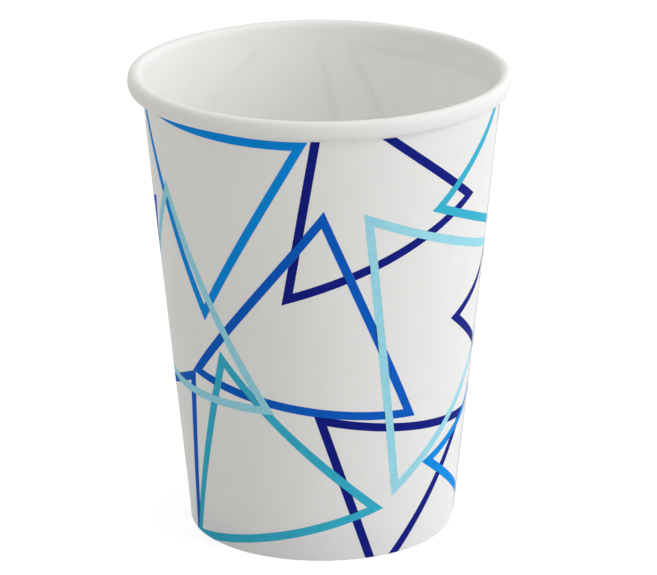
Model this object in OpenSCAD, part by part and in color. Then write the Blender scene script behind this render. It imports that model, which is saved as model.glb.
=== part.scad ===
// Paper cold cup: one wrapped sheet with a rolled rim and a folded hem, and a pressed base disc.
// Origin at the centre of the base, on the table. The axis is +Z.

/* [Cup] */
// Height from the table to the top of the rim
cup_h = 111; // [80:0.5:180]
// Diameter over the rolled rim
rim_d = 90; // [76:0.5:110]
// Diameter of the wall at the table, before its bottom edge is rounded
base_d = 63; // [45:0.5:68]

/* [Board] */
// Thickness of the wall's board
board_t = 0.33; // [0.25:0.01:0.45]
// Thickness of the base disc's board
base_t = 0.3; // [0.2:0.01:0.45]
// Clearance for the sealing film on each side of the base disc's skirt
seal_gap = 0.02; // [0.01:0.01:0.05]

/* [Rolled rim] */
// Width of the roll's section, outwards from the inside of the wall
roll_w = 3.3; // [2.6:0.1:4.5]
// Height of the roll's section
roll_h = 4.4; // [3:0.1:5.5]
// Clear gap between the roll's turns
roll_gap = 0.12; // [0.06:0.01:0.2]
// Angle that the roll's inner turn runs on for, from the bottom of the roll
roll_turn = 200; // [120:5:230]

/* [Base disc] */
// Height of the disc's underside above the table
recess_h = 7; // [5:0.5:14]
// Outer radius of the bend between the disc and its skirt
bend_r = 1; // [0.6:0.1:2]

/* [Hem] */
// Clearance between the hem's free edge and the start of the disc's bend
hem_clear = 0.3; // [0.1:0.1:1.5]

/* [Side seam] */
// Width of the overlap
seam_w = 8; // [5:0.5:12]
// Width over which the outer layer comes down onto the wall beside the overlap
ramp_w = 1.8; // [1:0.1:3]
// Direction of the overlap's root edge, counted from +X towards +Y
seam_at = 10; // [-180:1:180]
// Distance between the overlap's upper end and the underside of the roll
seam_clear = 0.4; // [0.1:0.1:2]

/* [Hidden] */
$fn = 144;
// Angle between the points of a round bend
arc_step = 7.5;

// The roll's outer turn and inner turn are ovals, each with a centre and half sizes
outer_half = [roll_w, roll_h] / 2;
outer_turn = [rim_d / 2, cup_h] - outer_half;
turn_pitch = board_t + roll_gap;
inner_half = outer_half - [turn_pitch, turn_pitch];
inner_turn = outer_turn - [0, turn_pitch];

// Slope of the wall from the vertical: its outer face starts at the foot and runs up as a
// tangent to the inside of the roll's outer turn. The oval's reach towards the wall depends a
// little on the slope, so it is taken at a first slope that leaves this out.
foot = [base_d / 2, 0];
foot_to_turn = outer_turn - foot;
function slope_past(reach) =
    atan2(foot_to_turn.x, foot_to_turn.y) - asin(reach / norm(foot_to_turn));
first_tilt = slope_past(outer_half.x - board_t);
turn_reach = norm([outer_half.x * cos(first_tilt), outer_half.y * sin(first_tilt)]);
wall_tilt = slope_past(turn_reach - board_t);

// Depths below the wall's outer face, through the wall, the skirt and the hem
wall_in = board_t;
skirt_out = wall_in + seal_gap;
skirt_in = skirt_out + base_t;
hem_out = skirt_in + seal_gap;
hem_in = hem_out + board_t;

// The fold under the skirt is as thick as the board, and the skirt ends just above it
fold_h = board_t;
skirt_foot = fold_h + seal_gap;
disc_top = recess_h + base_t;
bend_foot = disc_top - bend_r;
hem_top = bend_foot - hem_clear;
seam_top = cup_h - roll_h - seam_clear;

// Point at a height and a depth below the wall's outer face, in the plane through the axis
function at(z, depth) = [foot.x + z * tan(wall_tilt) - depth / cos(wall_tilt), z];

// Point of an oval's outline where the outline faces an angle, moved inwards by a depth
function oval(centre, half, a, depth) =
    let (facing = [cos(a), sin(a)], s = [half.x * facing.x, half.y * facing.y])
    centre + [half.x * s.x, half.y * s.y] / norm(s) - depth * facing;

// Points along a bend in either direction, with or without its first point
function bend(centre, half, depth, from, to, first = 0) =
    let (steps = ceil(abs(to - from) / arc_step))
    [for (i = [first:steps]) oval(centre, half, from + (to - from) * i / steps, depth)];

// The sheet's section: down the hem, round the skirt's edge, up the inside of the wall and
// round the roll to the sheet's top edge, and back along the other face of the board
module sheet_section() {
    wall_corner = at(fold_h, wall_in);
    hem_corner = at(fold_h, hem_out);
    fold_half = [board_t, board_t];
    roll_start = 180 - wall_tilt;
    roll_end = -90 - roll_turn;
    polygon(concat(
        [at(hem_top, hem_out), hem_corner, wall_corner],
        bend(outer_turn, outer_half, 0, roll_start, 90),
        bend(outer_turn, outer_half, 0, 90, -90, first = 1),
        bend(inner_turn, inner_half, 0, -90, roll_end, first = 1),
        bend(inner_turn, inner_half, board_t, roll_end, -90),
        bend(outer_turn, outer_half, board_t, -90, roll_start, first = 1),
        bend(wall_corner, fold_half, 0, -wall_tilt, -90),
        bend(hem_corner, fold_half, 0, 270, roll_start),
        [at(hem_top, hem_in)]
    ));
}

// The disc's section: a flat top, a round bend, and a skirt that is parallel to the wall
module base_section() {
    bend_at = at(bend_foot, skirt_out + bend_r);
    bend_half = [bend_r, bend_r];
    polygon(concat(
        [[0, recess_h], [0, disc_top]],
        bend(bend_at, bend_half, 0, 90, -wall_tilt),
        [at(skirt_foot, skirt_out), at(skirt_foot, skirt_in)],
        bend(bend_at, bend_half, base_t, -wall_tilt, 90)
    ));
}

// The outer layer at the seam, before it is cut to the overlap's width
module lap_section() {
    polygon([
        at(fold_h, -board_t),
        at(seam_top, -board_t),
        at(seam_top, wall_in / 2),
        at(fold_h, wall_in / 2),
    ]);
}

// One more layer of board over a strip of constant width. On one side it ends in a cut edge,
// and on the other, its root, it comes down at a slope onto the round wall.
module lap() {
    root = at(0, -board_t);
    past = seam_w; // how far the cut reaches past the layer, inwards and outwards
    rotate(seam_at) intersection() {
        rotate_extrude() lap_section();
        translate([root.x, 0, root.y]) rotate([0, wall_tilt, 0])
            linear_extrude(3 * cup_h, center = true) polygon([
                [-past, -seam_w],
                [past, -seam_w],
                [past, 0],
                [0, 0],
                [-2 * board_t, 2 * ramp_w],
                [-past, 2 * ramp_w],
            ]);
    }
}

module sidewall() {
    color([0.93, 0.93, 0.92]) {
        rotate_extrude() sheet_section();
        lap();
    }
}

module base_disc() {
    color([0.9, 0.9, 0.88]) rotate_extrude() base_section();
}

sidewall();
base_disc();
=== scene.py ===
"""A paper cold cup on a plain white table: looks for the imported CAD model."""

import math

import bpy
import numpy as np
from mathutils import Matrix, Vector
from mathutils.geometry import delaunay_2d_cdt


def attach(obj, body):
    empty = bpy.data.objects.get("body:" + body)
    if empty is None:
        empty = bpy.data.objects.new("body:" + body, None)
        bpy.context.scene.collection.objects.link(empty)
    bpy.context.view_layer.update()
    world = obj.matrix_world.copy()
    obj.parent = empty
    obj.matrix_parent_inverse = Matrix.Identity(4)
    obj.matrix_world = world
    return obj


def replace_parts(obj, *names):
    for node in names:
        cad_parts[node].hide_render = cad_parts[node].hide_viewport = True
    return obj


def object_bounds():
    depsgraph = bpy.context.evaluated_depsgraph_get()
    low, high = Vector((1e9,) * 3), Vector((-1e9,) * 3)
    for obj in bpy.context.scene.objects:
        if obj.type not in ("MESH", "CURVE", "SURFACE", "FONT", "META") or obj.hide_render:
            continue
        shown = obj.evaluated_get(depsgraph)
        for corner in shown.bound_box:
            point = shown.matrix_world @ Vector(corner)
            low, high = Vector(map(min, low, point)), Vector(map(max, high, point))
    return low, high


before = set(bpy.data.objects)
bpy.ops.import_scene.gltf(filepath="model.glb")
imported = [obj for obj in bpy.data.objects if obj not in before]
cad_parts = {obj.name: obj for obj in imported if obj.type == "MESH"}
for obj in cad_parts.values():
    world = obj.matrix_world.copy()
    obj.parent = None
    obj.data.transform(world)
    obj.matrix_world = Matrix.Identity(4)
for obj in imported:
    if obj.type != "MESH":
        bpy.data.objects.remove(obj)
cad_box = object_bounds()

# All lengths below are millimetres, until a mesh is made
MM = 0.001

# Sizes of the CAD model
CUP_H = round(cad_box[1][2] / MM, 2)
RIM_R = round(cad_box[1][0] / MM, 2)
BASE_R = 31.5
BOARD_T = 0.33
ROLL_HALF_W = 1.65
ROLL_HALF_H = 2.2
ROLL_GAP = 0.12
ROLL_TURN = 200.0
DISC_LOW = 7.0
DISC_TOP = 7.3
BEND_R = 1.0
SKIRT_OUT = 0.35
SKIRT_IN = 0.65
SKIRT_FOOT = 0.55
HEM_OUT = 0.67
HEM_TOP = 6.0
SEAM_W = 8.0
RAMP_W = 2.0
SEAM_AT = math.radians(10)


def slope_past(reach):
    """The wall's slope from the vertical, where it passes the middle of the roll at a distance."""
    out, up = RIM_R - ROLL_HALF_W - BASE_R, CUP_H - ROLL_HALF_H
    return math.atan2(out, up) - math.asin(reach / math.hypot(out, up))


# The wall runs as a tangent into the inside of the roll, whose reach depends on the slope
FIRST_TILT = slope_past(ROLL_HALF_W - BOARD_T)
ROLL_REACH = math.hypot(ROLL_HALF_W * math.cos(FIRST_TILT), ROLL_HALF_H * math.sin(FIRST_TILT))
TILT = slope_past(ROLL_REACH - BOARD_T)
SIN, COS, TAN = math.sin(TILT), math.cos(TILT), math.tan(TILT)

# The real sheet's small departures from a perfect round
SEAL_FILM = 0.01
FOLD_IN_R = (HEM_OUT - BOARD_T) / 2
FOLD_OUT_R = FOLD_IN_R + BOARD_T
ROLL_FLATNESS = 2.4  # exponent of the oval's outline, where 2 is an ellipse
ROLL_SLIM = 0.09  # taken off the roll's half width all round
ROLL_UNEVEN = 0.22  # half width that the roll has less at +X, and more at -X
ROLL_SIDES = 0.06  # half width that the roll has less at the sides, and more at front and back
ROLL_WAVE = 0.012
ROLL_DIP = 0.25  # how far the rim dips at the two diagonals of the back
WALL_WARP = 0.06
FOOT_SLIM = 0.22  # how far the foot is drawn in, which fades out at a height
FOOT_SLIM_H = 60.0
DISC_SAG = 0.12

# The doubled board at the side seam: the height over which the fold's press fades out, and the
# swell of the roll over the lap, with fewer degrees of curl and some squeeze of the board there
PRESS_H = 2.0
SWELL_EASE = 2.0
SWELL_W = 0.1
SWELL_H = 0.05
SWELL_PITCH = 0.61
SWELL_TURN = 100.0
SWELL_SQUEEZE = 0.18

# The sheet's grid: steps round the cup, then steps along the section
LAP_STEPS = 12
RAMP_STEPS = 6
ROUND_STEPS = 280
HEM_STEPS = 5
FOLD_STEPS = 6
FOOT_STEPS = 6
FOOT_H = 2.7
WALL_STEPS = 36
ROLL_STEPS = 30
ROLL_EASE_STEPS = 8
CURL_STEPS = 14

# The base disc's grid
DISC_FLAT_STEPS = 8
DISC_BEND_STEPS = 10
DISC_ROUND_STEPS = 144
SKIRT_ROWS = (4.5, 2.5, SKIRT_FOOT)

# The print: bands of ink on the outer face, laid out in the plane of the flat sheet. Where two
# inks meet, the darker one is cut away under the lighter one a little short of its edge.
BAND_W = 2.1
INK_UP = 0.02
INK_DOWN = 0.012
PRINT_TOP = 105.8
PRINT_STEP = 1.2
PRINT_NEAR = 0.001  # points closer than this become one
FOLD_PRINT = 0.5  # how far the print goes round the fold
FOLD_PRINT_STEPS = 3
TRAP_IN = 0.07
TRAP_SHIFT = (0.1, -0.06)
OVERLAP_DARKER = 2  # places by which an overlap is darker than its darker ink
LAP_MARGIN = 0.05
UNDER_LAP_MARGIN = 0.1
SHEET_MARGIN = 12.0
SHARP_EDGE = math.radians(40)

# The angle of the flat sheet that makes one full turn of the cup
FULL_TURN = 2 * math.pi * SIN

# Three rows of outlined triangles. Each row has the height of its centres, the triangles' outer
# radius, the azimuth and turn of the first one, the turn from one to the next, and their inks.
# Turns and azimuths are in degrees.
ROWS = {
    "low": dict(
        height=20.0, size=29.0, start=-118.0, turn=14.0, step=37.0,
        inks=["teal", "navy", "azure", "aqua", "royal", "royal"],
    ),
    "middle": dict(
        height=55.0, size=39.0, start=-96.0, turn=-8.0, step=49.0,
        inks=["royal", "aqua", "navy", "teal", "royal", "aqua"],
    ),
    "high": dict(
        height=90.0, size=29.0, start=-74.0, turn=22.0, step=-41.0,
        inks=["navy", "teal", "royal", "azure", "navy", "azure"],
    ),
}
SIZE_SPREAD = 0.12

# Ink colours from dark to light. The first is for the narrow lines where two inks overlap.
INK_COLOURS = {
    "overlap": (0.006, 0.009, 0.12),
    "navy": (0.009, 0.015, 0.25),
    "royal": (0.005, 0.125, 0.63),
    "azure": (0.004, 0.295, 0.86),
    "teal": (0.047, 0.5, 0.71),
    "aqua": (0.37, 0.79, 0.93),
}
INKS = list(INK_COLOURS)
INK_UNEVEN = 0.05

# Board colours, each as the two ends of its mottle
WALL_BOARD = ((0.905, 0.902, 0.892), (0.925, 0.922, 0.914))
BASE_BOARD = ((0.885, 0.88, 0.865), (0.915, 0.91, 0.9))

# Grain of the board and the ink, in waves per metre for the scales and metres for the relief
MOTTLE_SCALE = 140
GRAIN_SCALE = 1500
INK_SCALE = 900
RELIEF = 0.00003
RELIEF_STRENGTH = 0.25

# Light through the board, below the roll
GLOW_PART = 0.4
GLOW_REACH = 0.00036
GLOW_COLOUR = (1.0, 0.95, 0.88)
GLOW_TOP = CUP_H - 2 * ROLL_HALF_H

# The rolled ribs that press the hem onto the skirt
RIB_COUNT = 96.0
RIB_OUTER_R = 30.85
RIB_HEIGHT = 3.0

# The floor and the world look white to the camera, and light the cup at a lower level
FLOOR_SIZE = 8.0
FLOOR_BOUNCE = 0.72
FLOOR_SHADOW_PART = 0.35
FLOOR_WHITE = 0.8
WORLD_LIGHT = (0.546, 0.54, 0.52)

# Three square lamps: place in metres, watts and colour
LAMP_SIZE = 0.9
LAMP_AIM = (0, 0, 0.07)
KEY_COLOUR = (0.99, 1.0, 1.025)
LAMPS = {
    "key": ((1.2, -0.5, 0.55), 6.6, KEY_COLOUR),
    "side": ((1.1, 0.6, 0.6), 2.7, KEY_COLOUR),
    "overhead": ((0, 0.1, 1.4), 2.8, (1, 1, 1)),
}

# The photograph's camera, in metres and radians, with its lens in millimetres
CAMERA_PLACE = (0.0, -0.9797, 0.3907)
CAMERA_DOWN = math.radians(18.802)
CAMERA_YAW = math.radians(0.099)
CAMERA_ROLL = math.radians(-0.065)
CAMERA_LENS = 239.3


def smooth(x):
    """An eased step from 0 to 1."""
    x = np.clip(x, 0.0, 1.0)
    return x * x * (3 - 2 * x)


def wall_radius(z, depth=0.0):
    """Radius at a height, a depth below the wall's outer face."""
    return BASE_R + z * TAN - depth / COS


def slant(z):
    """Distance along the outer face from the point where the cone would end."""
    return wall_radius(z) / SIN


def lift_at(across):
    """Part of a board's thickness by which the lap stands off, by the distance from its root."""
    return np.where(across >= 0, 1.0, smooth(1 + across / RAMP_W))


def under_at(end):
    """1 where the board lies under the lap, by the distance from its end there."""
    return smooth(SEAM_W + 1 - end)


def swell_at(across):
    """How far the roll swells over the doubled board, by the distance from the lap's root."""
    return smooth(1 + across / SWELL_EASE) * smooth(1 + (SEAM_W - across) / SWELL_EASE)


def press_at(z):
    """How far the layers are pressed together near the fold at the foot."""
    return smooth(1 - (z - FOLD_OUT_R) / PRESS_H)


def layers_squeeze(z, doubled):
    """Part of the layers' full thickness that is left where they are pressed together."""
    return 1 - press_at(z) * (1 - BOARD_T / (BOARD_T + doubled * (BOARD_T + SEAL_FILM)))


def foot_heights():
    """Heights of the rows of points between the fold and the plain part of the wall."""
    return [FOLD_OUT_R + (FOOT_H - FOLD_OUT_R) * i / FOOT_STEPS for i in range(1, FOOT_STEPS + 1)]


def foot_draw(z):
    """How far the wall is drawn in near the foot."""
    return FOOT_SLIM * smooth(1 - z / FOOT_SLIM_H)


def warp_at(azimuth, z):
    """How far the wall stands outside its cone."""
    waves = 0.7 * np.cos(2 * azimuth + 0.8) + 0.3 * np.cos(3 * azimuth - 1.1)
    return (z / CUP_H) * WALL_WARP * waves - foot_draw(z)


def finish_mesh(name, verts, faces, material, normals=None):
    """A piece that rides with the cup, smooth up to an angle or shaded by the given normals."""
    mesh = bpy.data.meshes.new(name)
    mesh.from_pydata([tuple(v) for v in np.asarray(verts) * MM], [], faces)
    mesh.materials.append(material)
    mesh.polygons.foreach_set("use_smooth", [True] * len(mesh.polygons))
    if normals is None:
        mesh.set_sharp_from_angle(angle=SHARP_EDGE)
    else:
        mesh.normals_split_custom_set([tuple(n) for n in normals])
    mesh.update()
    piece = bpy.data.objects.new(name, mesh)
    bpy.context.scene.collection.objects.link(piece)
    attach(piece, "root")
    return piece


def turned_outwards(verts, faces):
    """The faces, all reversed where the mesh would be inside out."""
    volume = 0.0
    for f in faces:
        for i in range(1, len(f) - 1):
            a, b, c = verts[f[0]], verts[f[i]], verts[f[i + 1]]
            volume += np.dot(a, np.cross(b, c))
    return faces if volume > 0 else [tuple(reversed(f)) for f in faces]


def reach_of(half, facing):
    """Distance from an oval's centre to its tangent line that faces an angle in degrees."""
    q = ROLL_FLATNESS / (ROLL_FLATNESS - 1)
    a = math.radians(facing)
    return (abs(half[0] * math.cos(a)) ** q + abs(half[1] * math.sin(a)) ** q) ** (1 / q)


def oval(centre, half, facing):
    """Point where an oval with flattened sides faces an angle in degrees."""
    q = ROLL_FLATNESS / (ROLL_FLATNESS - 1)
    a = math.radians(facing)
    reach = reach_of(half, facing)
    point = []
    for middle, size, turn in zip(centre, half, (math.cos(a), math.sin(a))):
        part = (abs(size * turn) / reach) ** (q - 1)
        point.append(middle + math.copysign(size * part, turn))
    return tuple(point)


def roll_shape(azimuth, swell):
    """Centre and half sizes of the roll's outer turn at an azimuth."""
    wave = math.cos(5 * azimuth + 0.4) + 0.7 * math.cos(9 * azimuth + 2.0)
    half_w = ROLL_HALF_W - ROLL_SLIM - ROLL_UNEVEN * math.cos(azimuth)
    half_w -= ROLL_SIDES * math.cos(2 * azimuth)
    half_w += ROLL_WAVE * wave + SWELL_W * swell
    half_h = ROLL_HALF_H + 0.5 * ROLL_WAVE * math.cos(7 * azimuth + 1.0)
    half_h += SWELL_H * swell
    back = float(smooth(2 * math.sin(azimuth)))
    centre_z = CUP_H + SWELL_H * swell - half_h
    centre_z -= ROLL_DIP * back * (1 - math.cos(4 * azimuth)) / 2
    half = (half_w, half_h)
    reach = reach_of(half, 180 - math.degrees(TILT))
    return (wall_radius(centre_z, BOARD_T) + reach / COS, centre_z), half


def sheet_path(azimuth, swell):
    """The sheet's drink side in a plane through the axis, from the hem's edge to the roll's end.

    Each point is radius, height, the direction into the board in degrees, and the squeeze of a
    doubled board in the roll.
    """
    tilt = math.degrees(TILT)
    path = []
    for i in range(HEM_STEPS):
        z = HEM_TOP + (FOLD_OUT_R - HEM_TOP) * i / HEM_STEPS
        path.append((wall_radius(z, HEM_OUT), z, 180 - tilt, 0))
    fold_middle = wall_radius(FOLD_OUT_R, FOLD_OUT_R)
    for start, end, first in ((180 - tilt, 270, 0), (270, 360 - tilt, 1)):
        for i in range(first, FOLD_STEPS + 1):
            a = start + (end - start) * i / FOLD_STEPS
            r = fold_middle + FOLD_IN_R * math.cos(math.radians(a))
            z = FOLD_OUT_R + FOLD_IN_R * math.sin(math.radians(a))
            path.append((r, z, a, 0))
    centre, half = roll_shape(azimuth, swell)
    wall_top = oval(centre, half, 180 - tilt)[1]
    heights = foot_heights()
    heights += [FOOT_H + (wall_top - FOOT_H) * i / WALL_STEPS for i in range(1, WALL_STEPS)]
    path += [(wall_radius(z, BOARD_T), z, -tilt, 0) for z in heights]
    for i in range(ROLL_STEPS + 1):
        a = 180 - tilt - (270 - tilt) * i / ROLL_STEPS
        path.append((*oval(centre, half, a), a - 180, smooth(i / ROLL_EASE_STEPS)))
    pitch = (BOARD_T + ROLL_GAP) * (1 - swell) + SWELL_PITCH * swell
    curl_centre = (centre[0], centre[1] - pitch)
    curl_half = (half[0] - pitch, half[1] - pitch)
    turn = ROLL_TURN - SWELL_TURN * swell
    for i in range(1, CURL_STEPS + 1):
        a = -90 - turn * i / CURL_STEPS
        path.append((*oval(curl_centre, curl_half, a), a - 180, 1))
    return path


def sheet_columns():
    """Each column's distance across the lap, and its part of the way round past the ramp."""
    lap = [(SEAM_W * (1 - i / LAP_STEPS), 0.0) for i in range(LAP_STEPS + 1)]
    ramp = [(-RAMP_W * i / RAMP_STEPS, 0.0) for i in range(1, RAMP_STEPS + 1)]
    rest = [(-RAMP_W, i / ROUND_STEPS) for i in range(1, ROUND_STEPS + 1)]
    return lap + ramp + rest


def column_azimuth(across, part, s):
    """Azimuth of a column's point at a distance from the cone's apex."""
    start = SEAM_AT - math.asin(across / s) / SIN
    return start + part * (SEAM_AT + 2 * math.pi - start)


def far_end(azimuth, s):
    """Distance from the sheet's end under the lap, which is only exact near that end."""
    return s * math.sin(min((SEAM_AT + 2 * math.pi - azimuth) * SIN, FULL_TURN / 2))


def sheet_sides():
    """Drink side and print side of the sheet as two grids of points, column by column."""
    top_s = slant(CUP_H - 2 * ROLL_HALF_H)
    drink, outer = [], []
    for across, part in sheet_columns():
        top_azimuth = column_azimuth(across, part, top_s)
        swell = float(max(swell_at(across), swell_at(far_end(top_azimuth, top_s))))
        lift = float(lift_at(across))
        d_col, o_col = [], []
        for r, z, facing, rolled in sheet_path(top_azimuth, swell):
            s = slant(min(max(z, 0.0), CUP_H - 2 * ROLL_HALF_H))
            azimuth = column_azimuth(across, part, s)
            under = float(under_at(far_end(azimuth, s)))
            squeeze = float(layers_squeeze(z, max(lift, under)))
            squeeze *= 1 - SWELL_SQUEEZE * swell * float(rolled)
            near_off = lift * (BOARD_T + SEAL_FILM) * squeeze
            far_off = near_off + BOARD_T * squeeze
            warp = float(warp_at(azimuth, z))
            a = math.radians(facing)
            for off, col in ((near_off, d_col), (far_off, o_col)):
                rr = r + off * math.cos(a) + warp
                col.append(
                    (rr * math.cos(azimuth), rr * math.sin(azimuth), z + off * math.sin(a))
                )
        drink.append(d_col)
        outer.append(o_col)
    return drink, outer


def make_sidewall(material):
    """The whole sheet as one closed mesh: drink side, print side and the edges between them."""
    drink, outer = sheet_sides()
    columns, points = len(drink), len(drink[0])
    verts = np.array([p for side in (drink, outer) for col in side for p in col])
    far = columns * points

    def at(c, p):
        return c * points + p

    faces = []
    for c in range(columns - 1):
        for p in range(points - 1):
            faces.append((at(c, p), at(c + 1, p), at(c + 1, p + 1), at(c, p + 1)))
            faces.append(
                (far + at(c, p), far + at(c, p + 1), far + at(c + 1, p + 1), far + at(c + 1, p))
            )
        for p, order in ((0, 1), (points - 1, -1)):
            edge = (at(c, p), far + at(c, p), far + at(c + 1, p), at(c + 1, p))
            faces.append(edge[::order])
    for p in range(points - 1):
        for c, order in ((0, -1), (columns - 1, 1)):
            edge = (at(c, p), far + at(c, p), far + at(c, p + 1), at(c, p + 1))
            faces.append(edge[::order])
    faces = turned_outwards(verts, faces)
    piece = finish_mesh("cup_sidewall", verts, faces, material)
    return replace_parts(piece, "sidewall")


def disc_profile():
    """The base disc's section, from the middle of its top to the middle of its underside."""
    tilt = math.degrees(TILT)
    bend_z = DISC_TOP - BEND_R
    bend_r = wall_radius(bend_z, SKIRT_OUT + BEND_R)
    thickness = DISC_TOP - DISC_LOW
    flat = [bend_r * i / DISC_FLAT_STEPS for i in range(DISC_FLAT_STEPS)]

    def low(r):
        return DISC_SAG * (1 - (r / bend_r) ** 2)

    def bend(radius, angles):
        turns = [math.radians(a) for a in angles]
        return [(bend_r + radius * math.cos(a), bend_z + radius * math.sin(a)) for a in turns]

    down = [90 - (90 + tilt) * i / DISC_BEND_STEPS for i in range(DISC_BEND_STEPS + 1)]
    top = [(r, DISC_TOP - low(r)) for r in flat] + bend(BEND_R, down)
    skirt = [(wall_radius(z, SKIRT_OUT), z) for z in SKIRT_ROWS]
    skirt += [(wall_radius(z, SKIRT_IN), z) for z in reversed(SKIRT_ROWS)]
    under = bend(BEND_R - thickness, down[::-1]) + [(r, DISC_LOW - low(r)) for r in flat[::-1]]
    return top + skirt + under


def make_base_disc(material):
    """The base disc's section turned round the axis, as one closed mesh."""
    steps = DISC_ROUND_STEPS
    verts, faces, rows = [], [], []
    for r, z in disc_profile():
        r -= float(foot_draw(z)) * r / BASE_R
        if r == 0:
            rows.append([len(verts)] * steps)
            verts.append((0.0, 0.0, z))
        else:
            rows.append(list(range(len(verts), len(verts) + steps)))
            for k in range(steps):
                a = 2 * math.pi * k / steps
                verts.append((r * math.cos(a), r * math.sin(a), z))
    for one, two in zip(rows, rows[1:]):
        for k in range(steps):
            m = (k + 1) % steps
            quad = (one[k], two[k], two[m], one[m])
            faces.append(tuple(dict.fromkeys(quad)))
    verts = np.array(verts)
    faces = turned_outwards(verts, faces)
    piece = finish_mesh("cup_base", verts, faces, material)
    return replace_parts(piece, "base_disc")


def on_wall(flat, height):
    """Points of the flat sheet laid on the wall's outer face, raised by a height."""
    x, y = flat[:, 0], flat[:, 1]
    s = np.hypot(x, y)
    azimuth = SEAM_AT + np.arctan2(x, y) / SIN
    s_fold = slant(FOLD_OUT_R * (1 - SIN))
    below = np.maximum(s_fold - s, 0.0)
    straight = np.maximum(s, s_fold)
    r = straight * SIN
    z = (r - BASE_R) / TAN
    a = -TILT - below / FOLD_OUT_R
    fold_middle = wall_radius(FOLD_OUT_R, FOLD_OUT_R)
    r = np.where(below > 0, fold_middle + FOLD_OUT_R * np.cos(a), r)
    z = np.where(below > 0, FOLD_OUT_R + FOLD_OUT_R * np.sin(a), z)
    lift = lift_at(-x)
    under = under_at(y * math.sin(FULL_TURN) - x * math.cos(FULL_TURN))
    squeeze = layers_squeeze(z + BOARD_T * SIN, np.maximum(lift, under))
    off = (lift * (BOARD_T + SEAL_FILM) + BOARD_T) * squeeze - BOARD_T + height
    r = r + off * np.cos(a) + warp_at(azimuth, z)
    z = z + off * np.sin(a)
    return np.stack([r * np.cos(azimuth), r * np.sin(azimuth), z], axis=1)


def wall_normals(flat):
    """Directions out of the outer face at points of the flat sheet."""
    step = 0.02
    across = on_wall(flat + [step, 0], 0) - on_wall(flat - [step, 0], 0)
    along = on_wall(flat + [0, step], 0) - on_wall(flat - [0, step], 0)
    n = np.cross(across, along)
    return n / np.linalg.norm(n, axis=1)[:, None]


def flat_point(azimuth, z):
    """Point of the flat sheet for an azimuth and a height on the cup."""
    s, psi = slant(z), (azimuth - SEAM_AT) * SIN
    return np.array([s * math.sin(psi), s * math.cos(psi)])


def turned_flat(p, angle):
    """A flat point moved round the sheet's apex, towards rising azimuths."""
    c, s = math.cos(angle), math.sin(angle)
    return np.array([p[0] * c + p[1] * s, -p[0] * s + p[1] * c])


def inset(corners, depth):
    """A convex outline with every edge moved inwards, given anticlockwise corners."""
    count = len(corners)
    lines = []
    for i in range(count):
        p, q = corners[i], corners[(i + 1) % count]
        d = (q - p) / np.linalg.norm(q - p)
        n = np.array([-d[1], d[0]])
        lines.append((p + n * depth, d))
    out = []
    for i in range(count):
        (p, d), (q, e) = lines[i - 1], lines[i]
        t = np.linalg.solve(np.array([d, -e]).T, q - p)
        out.append(p + d * t[0])
    return out


def inside(corners, pts):
    """Which points lie inside a convex outline with anticlockwise corners."""
    ok = np.ones(len(pts), bool)
    for i in range(len(corners)):
        p, q = corners[i], corners[(i + 1) % len(corners)]
        ok &= (q[0] - p[0]) * (pts[:, 1] - p[1]) - (q[1] - p[1]) * (pts[:, 0] - p[0]) > 0
    return ok


def print_shapes():
    """The printed triangles on the flat sheet, as ink number and anticlockwise corners."""
    shapes = []
    for row in ROWS.values():
        for k, ink in enumerate(row["inks"]):
            azimuth = math.radians(row["start"] + 360.0 / len(row["inks"]) * k)
            azimuth = SEAM_AT + (azimuth - SEAM_AT) % (2 * math.pi)
            centre = flat_point(azimuth, row["height"])
            outward = math.degrees(math.atan2(centre[1], centre[0]))
            size = row["size"] * (1 + SIZE_SPREAD * math.sin(2.4 * k + row["height"]))
            turn = outward + row["turn"] + row["step"] * k
            corners = []
            for i in range(3):
                a = math.radians(turn + 120 * i)
                corners.append(centre + size * np.array([math.cos(a), math.sin(a)]))
            for shift in (-FULL_TURN, 0.0, FULL_TURN):
                shapes.append((INKS.index(ink), [turned_flat(p, shift) for p in corners]))
    return shapes


def clipped(p, q, corners, margin):
    """The part of a segment that lies in a convex outline grown by a margin, or None."""
    lo, hi = 0.0, 1.0
    for i in range(len(corners)):
        a, b = corners[i], corners[(i + 1) % len(corners)]
        d = (b - a) / np.linalg.norm(b - a)
        n = np.array([-d[1], d[0]])
        start, change = np.dot(p - a, n) + margin, np.dot(q - p, n)
        if abs(change) < 1e-12:
            if start < 0:
                return None
            continue
        t = -start / change
        if change > 0:
            lo = max(lo, t)
        else:
            hi = min(hi, t)
    return (p + (q - p) * lo, p + (q - p) * hi) if hi - lo > 1e-6 else None


def bands():
    """Each printed triangle as its ink, outline and hole, and the outline and hole of the trap.

    The trap is what it cuts out of darker inks: the same band, a little narrower and shifted.
    """
    shift = np.array(TRAP_SHIFT)
    shapes = []
    for ink, corners in print_shapes():
        ring = np.array(corners)
        psi = np.arctan2(ring[:, 0], ring[:, 1])
        if psi.max() < -0.03 or psi.min() > FULL_TURN + 0.01:
            continue
        trap = [p + shift for p in inset(corners, TRAP_IN)]
        trap_hole = [p + shift for p in inset(corners, BAND_W - TRAP_IN)]
        shapes.append((ink, corners, inset(corners, BAND_W), trap, trap_hole))
    return shapes


def trap_lines(shapes):
    """The parts of the traps' edges that cross darker bands."""
    for ink, _, _, trap, trap_hole in shapes:
        for dark, corners, hole, _, _ in shapes:
            if dark >= ink:
                continue
            for j in range(3):
                k = (j + 1) % 3
                strip = [corners[j], corners[k], hole[k], hole[j]]
                for outline in (trap, trap_hole):
                    for i in range(3):
                        cut = clipped(outline[i], outline[(i + 1) % 3], strip, LAP_MARGIN)
                        if cut:
                            yield cut


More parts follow.
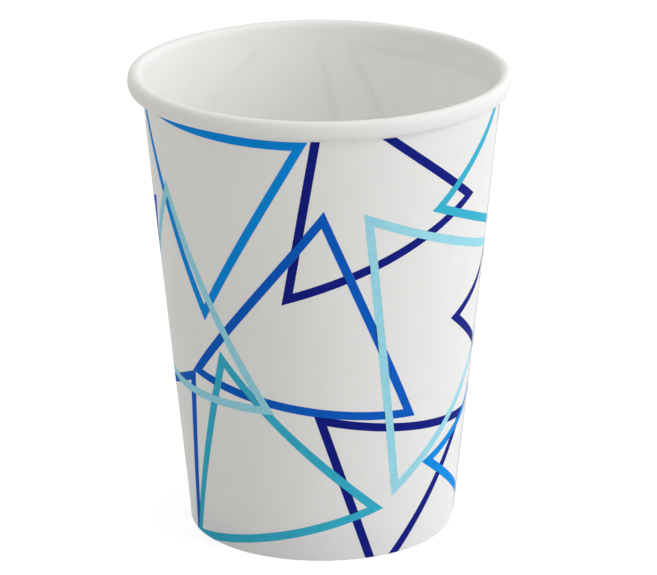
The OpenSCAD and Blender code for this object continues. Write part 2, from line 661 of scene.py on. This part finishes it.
def sheet_lines(s_low, s_top, start_x, end_x):
    """The edges of the printed area, and the sheet's rows and columns where it bends most."""
    levels = [s_top]
    levels += [s_low + FOLD_PRINT * i / FOLD_PRINT_STEPS for i in range(FOLD_PRINT_STEPS + 1)]
    levels += [slant(z - BOARD_T * SIN) for z in foot_heights()]
    for s in levels:
        count = math.ceil((FULL_TURN * s + 2 * SHEET_MARGIN) / PRINT_STEP)
        low, high = -SHEET_MARGIN / s, FULL_TURN + SHEET_MARGIN / s
        angles = [low + (high - low) * i / count for i in range(count + 1)]
        yield [np.array([s * math.sin(a), s * math.cos(a)]) for a in angles]
    for x in [start_x] + [RAMP_W * i / RAMP_STEPS for i in range(RAMP_STEPS + 1)]:
        yield cut_up(np.array([x, s_low - 1]), np.array([x, s_top + 1]))
    ends = [np.array([end_x, s]) for s in (s_low - 1, s_top + 1)]
    yield cut_up(*[turned_flat(p, FULL_TURN) for p in ends])


def cut_up(p, q):
    """Points along a segment."""
    count = max(1, math.ceil(np.linalg.norm(q - p) / PRINT_STEP))
    return [p + (q - p) * i / count for i in range(count + 1)]


def inks_of(spots, shapes):
    """The ink at each spot of the flat sheet, and whether there is any."""
    count = len(INKS)
    printed = np.zeros((count, len(spots)), bool)
    masked = np.zeros((count, len(spots)), bool)
    for ink, corners, hole, trap, trap_hole in shapes:
        printed[ink] |= inside(corners, spots) & ~inside(hole, spots)
        masked[:ink] |= inside(trap, spots) & ~inside(trap_hole, spots)
    printed &= ~masked
    layers = printed.sum(axis=0)
    lightest = count - 1 - np.argmax(printed[::-1], axis=0)
    darkest = np.argmax(printed, axis=0)
    ink = np.where(layers > 1, np.maximum(darkest - OVERLAP_DARKER, 0), lightest)
    return ink, layers > 0


def print_layout():
    """The printed area cut into triangles on the flat sheet: points, triangles, ink of each.

    All edges go into one triangulation, so that no triangle lies in two inks or across a bend.
    """
    s_low = slant(FOLD_OUT_R * (1 - SIN)) - FOLD_PRINT
    s_top = slant(PRINT_TOP)
    start_x, end_x = LAP_MARGIN - SEAM_W, -SEAM_W - UNDER_LAP_MARGIN
    shapes = bands()
    lines = []
    for _, corners, hole, _, _ in shapes:
        for outline in (corners, inset(corners, BAND_W / 2), hole):
            lines += [cut_up(outline[i], outline[(i + 1) % 3]) for i in range(3)]
    lines += [cut_up(*cut) for cut in trap_lines(shapes)]
    lines += sheet_lines(s_low, s_top, start_x, end_x)
    verts, edges = [], []
    for line in lines:
        first = len(verts)
        verts.extend(Vector(p) for p in line)
        edges.extend((first + i, first + i + 1) for i in range(len(line) - 1))

    out = delaunay_2d_cdt(verts, edges, [], 0, PRINT_NEAR)
    pts = np.array([tuple(v) for v in out[0]])
    tris = np.array([tuple(f) for f in out[2]])
    mid = pts[tris].mean(axis=1)
    s = np.hypot(mid[:, 0], mid[:, 1])
    shown = (s > s_low) & (s < s_top) & (mid[:, 0] > start_x)
    shown &= mid[:, 0] * math.cos(FULL_TURN) - mid[:, 1] * math.sin(FULL_TURN) < end_x
    ink, inked = inks_of(mid, shapes)
    shown &= inked
    return pts, tris[shown], ink[shown]


def film_corners(tris):
    """The vertex of each triangle corner, where patches that meet at one point stay apart."""
    parent = list(range(tris.size))

    def find(i):
        while parent[i] != i:
            parent[i] = parent[parent[i]]
            i = parent[i]
        return i

    sides = {}
    for t, tri in enumerate(tris):
        for i in range(3):
            a, b = tri[i], tri[(i + 1) % 3]
            sides.setdefault((min(a, b), max(a, b)), []).append((t, i))
    rim = []
    for pair in sides.values():
        if len(pair) == 1:
            rim.append(pair[0])
            continue
        (t, i), (u, j) = pair
        ends = {tris[t][i]: 3 * t + i, tris[t][(i + 1) % 3]: 3 * t + (i + 1) % 3}
        for corner in (j, (j + 1) % 3):
            parent[find(3 * u + corner)] = find(ends[tris[u][corner]])
    names, corner_vert = {}, np.zeros(tris.size, int)
    for c in range(tris.size):
        corner_vert[c] = names.setdefault(find(c), len(names))
    return corner_vert.reshape(-1, 3), rim


def make_print(ink_number, layout, material):
    """All bands of one ink, as a thin closed film on the wall's outer face."""
    pts, tris, ink = layout
    tris = tris[ink == ink_number]
    flat = pts[tris]
    twist = (flat[:, 1, 0] - flat[:, 0, 0]) * (flat[:, 2, 1] - flat[:, 0, 1])
    twist -= (flat[:, 1, 1] - flat[:, 0, 1]) * (flat[:, 2, 0] - flat[:, 0, 0])
    tris = np.where((twist > 0)[:, None], tris, tris[:, ::-1])
    corner_vert, rim = film_corners(tris)
    count = corner_vert.max() + 1
    spot = np.zeros((count, 2))
    spot[corner_vert.ravel()] = pts[tris.ravel()]
    top, low, normal = on_wall(spot, INK_UP), on_wall(spot, -INK_DOWN), wall_normals(spot)
    verts = np.concatenate([top, low])
    a, b, c = (top[corner_vert[0, i]] for i in range(3))
    outward = np.dot(np.cross(b - a, c - a), normal[corner_vert[0, 0]]) > 0
    order = 1 if outward else -1
    faces, loops = [], []
    for tri in corner_vert:
        tri = [int(v) for v in tri]
        faces.append(tuple(tri[::order]))
        loops += [normal[v] for v in tri[::order]]
        faces.append(tuple(v + count for v in tri[::-order]))
        loops += [-normal[v] for v in tri[::-order]]
    for t, i in rim:
        p, q = int(corner_vert[t][i]), int(corner_vert[t][(i + 1) % 3])
        side = (q, p, p + count, q + count)[::order]
        n = np.cross(verts[side[1]] - verts[side[0]], verts[side[2]] - verts[side[0]])
        n = n / max(np.linalg.norm(n), 1e-12)
        faces.append(side)
        loops += [n] * 4
    name = INKS[ink_number]
    return finish_mesh(f"print_{name}", verts, faces, material, normals=loops)


def node_tree(name):
    """A new material with its node tree, its shader and the place on the object in metres."""
    material = bpy.data.materials.new(name)
    material.use_nodes = True
    tree = material.node_tree
    shader = tree.nodes["Principled BSDF"]
    place = tree.nodes.new("ShaderNodeTexCoord").outputs["Object"]
    return material, tree, shader, place


def noise(tree, place, scale, detail, rough):
    node = tree.nodes.new("ShaderNodeTexNoise")
    node.inputs["Scale"].default_value = scale
    node.inputs["Detail"].default_value = detail
    node.inputs["Roughness"].default_value = rough
    tree.links.new(place, node.inputs["Vector"])
    return node.outputs["Fac"]


def spread(tree, value, dark, light, low=0.35, high=0.65):
    """A colour between two, by a value's place between two levels."""
    node = tree.nodes.new("ShaderNodeValToRGB")
    node.color_ramp.elements[0].position = low
    node.color_ramp.elements[0].color = (*dark, 1)
    node.color_ramp.elements[1].position = high
    node.color_ramp.elements[1].color = (*light, 1)
    tree.links.new(value, node.inputs["Fac"])
    return node.outputs["Color"]


def combine(tree, operation, one, two=0.0):
    """A sum or other operation on two numbers, each of them a socket or a plain number."""
    node = tree.nodes.new("ShaderNodeMath")
    node.operation = operation
    for socket, value in zip(node.inputs, (one, two)):
        if isinstance(value, (int, float)):
            socket.default_value = value
        else:
            tree.links.new(value, socket)
    return node.outputs["Value"]


def relief(tree, shader, height):
    """Fine relief that only the light shows."""
    node = tree.nodes.new("ShaderNodeBump")
    node.inputs["Strength"].default_value = RELIEF_STRENGTH
    node.inputs["Distance"].default_value = RELIEF
    tree.links.new(height, node.inputs["Height"])
    tree.links.new(node.outputs["Normal"], shader.inputs["Normal"])


def ribbed_hem(tree, place, grain):
    """The grain's height with ribs added on the hem, which is all that lies within a radius."""
    part = tree.nodes.new("ShaderNodeSeparateXYZ")
    tree.links.new(place, part.inputs["Vector"])
    x, y = part.outputs["X"], part.outputs["Y"]
    angle = combine(tree, "ARCTAN2", y, x)
    ribs = combine(tree, "SINE", combine(tree, "MULTIPLY", angle, RIB_COUNT))
    square = combine(tree, "ADD", combine(tree, "POWER", x, 2.0), combine(tree, "POWER", y, 2.0))
    hem = combine(tree, "LESS_THAN", square, (RIB_OUTER_R * MM) ** 2)
    ribs = combine(tree, "MULTIPLY", combine(tree, "MULTIPLY", ribs, hem), RIB_HEIGHT)
    return combine(tree, "ADD", grain, ribs)


def board_material(name, colours, ribbed=False):
    """Coated cup board: white, faintly mottled, satin, and thin enough to let light through."""
    material, tree, shader, place = node_tree(name)
    mottle = combine(tree, "MULTIPLY", noise(tree, place, MOTTLE_SCALE, 4, 0.6), 0.6)
    grain = noise(tree, place, GRAIN_SCALE, 3, 0.6)
    mixed = combine(tree, "ADD", mottle, combine(tree, "MULTIPLY", grain, 0.4))
    tree.links.new(spread(tree, mixed, *colours), shader.inputs["Base Color"])
    part = tree.nodes.new("ShaderNodeSeparateXYZ")
    tree.links.new(place, part.inputs["Vector"])
    below_roll = combine(tree, "LESS_THAN", part.outputs["Z"], GLOW_TOP * MM)
    glow = combine(tree, "MULTIPLY", below_roll, GLOW_PART)
    tree.links.new(glow, shader.inputs["Subsurface Weight"])
    relief(tree, shader, ribbed_hem(tree, place, grain) if ribbed else grain)
    shader.inputs["Roughness"].default_value = 0.5
    shader.inputs["Specular IOR Level"].default_value = 0.35
    shader.inputs["Subsurface Radius"].default_value = GLOW_COLOUR
    shader.inputs["Subsurface Scale"].default_value = GLOW_REACH
    return material


def ink_material(name, colour):
    """A thin printed layer with faint unevenness."""
    material, tree, shader, place = node_tree(name)
    uneven = noise(tree, place, INK_SCALE, 4, 0.65)
    dark = tuple(c * (1 - INK_UNEVEN) for c in colour)
    light = tuple(min(1.0, c * (1 + INK_UNEVEN)) for c in colour)
    tree.links.new(spread(tree, uneven, dark, light), shader.inputs["Base Color"])
    relief(tree, shader, noise(tree, place, GRAIN_SCALE, 3, 0.6))
    shader.inputs["Roughness"].default_value = 0.6
    shader.inputs["Specular IOR Level"].default_value = 0.03
    return material


def make_floor():
    """A plain white floor that keeps the cup's shadow and sends less light back than it shows."""
    mesh = bpy.data.meshes.new("floor")
    h = FLOOR_SIZE / 2
    mesh.from_pydata([(-h, -h, 0), (h, -h, 0), (h, h, 0), (-h, h, 0)], [], [(0, 1, 2, 3)])
    floor = bpy.data.objects.new("floor", mesh)
    bpy.context.scene.collection.objects.link(floor)
    material = bpy.data.materials.new("floor")
    material.use_nodes = True
    tree = material.node_tree
    tree.nodes.clear()
    out = tree.nodes.new("ShaderNodeOutputMaterial")
    path = tree.nodes.new("ShaderNodeLightPath")
    bounce = tree.nodes.new("ShaderNodeBsdfDiffuse")
    bounce.inputs["Color"].default_value = (FLOOR_BOUNCE,) * 3 + (1,)
    seen = tree.nodes.new("ShaderNodeBsdfDiffuse")
    seen.inputs["Color"].default_value = (FLOOR_SHADOW_PART,) * 3 + (1,)
    glow = tree.nodes.new("ShaderNodeEmission")
    glow.inputs["Strength"].default_value = FLOOR_WHITE
    white = tree.nodes.new("ShaderNodeAddShader")
    tree.links.new(seen.outputs[0], white.inputs[0])
    tree.links.new(glow.outputs[0], white.inputs[1])
    mix = tree.nodes.new("ShaderNodeMixShader")
    tree.links.new(seen_by_eye(tree, path), mix.inputs["Fac"])
    tree.links.new(bounce.outputs[0], mix.inputs[1])
    tree.links.new(white.outputs[0], mix.inputs[2])
    tree.links.new(mix.outputs[0], out.inputs["Surface"])
    mesh.materials.append(material)
    return floor


def seen_by_eye(tree, path):
    """1 for rays from the camera, reflections and transmissions, 0 for the light on the cup."""
    rays = combine(tree, "MAXIMUM", path.outputs["Is Camera Ray"], path.outputs["Is Glossy Ray"])
    return combine(tree, "MAXIMUM", rays, path.outputs["Is Transmission Ray"])


def make_world():
    """White to the eye, and an even, soft light on the cup."""
    world = bpy.data.worlds.new("studio")
    bpy.context.scene.world = world
    world.use_nodes = True
    tree = world.node_tree
    background = tree.nodes["Background"]
    path = tree.nodes.new("ShaderNodeLightPath")
    mix = tree.nodes.new("ShaderNodeMix")
    mix.data_type = "RGBA"
    tree.links.new(seen_by_eye(tree, path), mix.inputs["Factor"])
    mix.inputs["A"].default_value = (*WORLD_LIGHT, 1)
    mix.inputs["B"].default_value = (1, 1, 1, 1)
    tree.links.new(mix.outputs["Result"], background.inputs["Color"])


def make_lamps():
    """Soft square lamps, each turned towards the cup."""
    for name, (place, watts, colour) in LAMPS.items():
        data = bpy.data.lights.new(name, "AREA")
        data.shape = "SQUARE"
        data.size = LAMP_SIZE
        data.energy = watts
        data.color = colour
        lamp = bpy.data.objects.new(name, data)
        bpy.context.scene.collection.objects.link(lamp)
        lamp.location = place
        aim = Vector(LAMP_AIM) - Vector(place)
        lamp.rotation_euler = aim.to_track_quat("-Z", "Y").to_euler()


def make_camera():
    """The photograph's camera: it looks down at the cup from the front, almost level."""
    data = bpy.data.cameras.new("camera")
    data.sensor_width = 36
    data.lens = CAMERA_LENS
    data.clip_end = 20
    camera = bpy.data.objects.new("camera", data)
    bpy.context.scene.collection.objects.link(camera)
    forward = Vector(
        (
            math.sin(CAMERA_YAW) * math.cos(CAMERA_DOWN),
            math.cos(CAMERA_YAW) * math.cos(CAMERA_DOWN),
            -math.sin(CAMERA_DOWN),
        )
    )
    level = Vector((math.cos(CAMERA_YAW), -math.sin(CAMERA_YAW), 0))
    upward = level.cross(forward)
    right = level * math.cos(CAMERA_ROLL) + upward * math.sin(CAMERA_ROLL)
    up = upward * math.cos(CAMERA_ROLL) - level * math.sin(CAMERA_ROLL)
    turn = Matrix((right, up, -forward)).transposed()
    camera.matrix_world = Matrix.Translation(CAMERA_PLACE) @ turn.to_4x4()
    bpy.context.scene.camera = camera


def main():
    scene = bpy.context.scene
    scene.view_settings.view_transform = "Standard"
    scene.cycles.diffuse_bounces = 12
    scene.cycles.max_bounces = 16
    make_sidewall(board_material("wall_board", WALL_BOARD, ribbed=True))
    make_base_disc(board_material("base_board", BASE_BOARD))
    layout = print_layout()
    for number, (name, colour) in enumerate(INK_COLOURS.items()):
        make_print(number, layout, ink_material(f"ink_{name}", colour))
    make_floor()
    make_world()
    make_lamps()
    make_camera()


main()
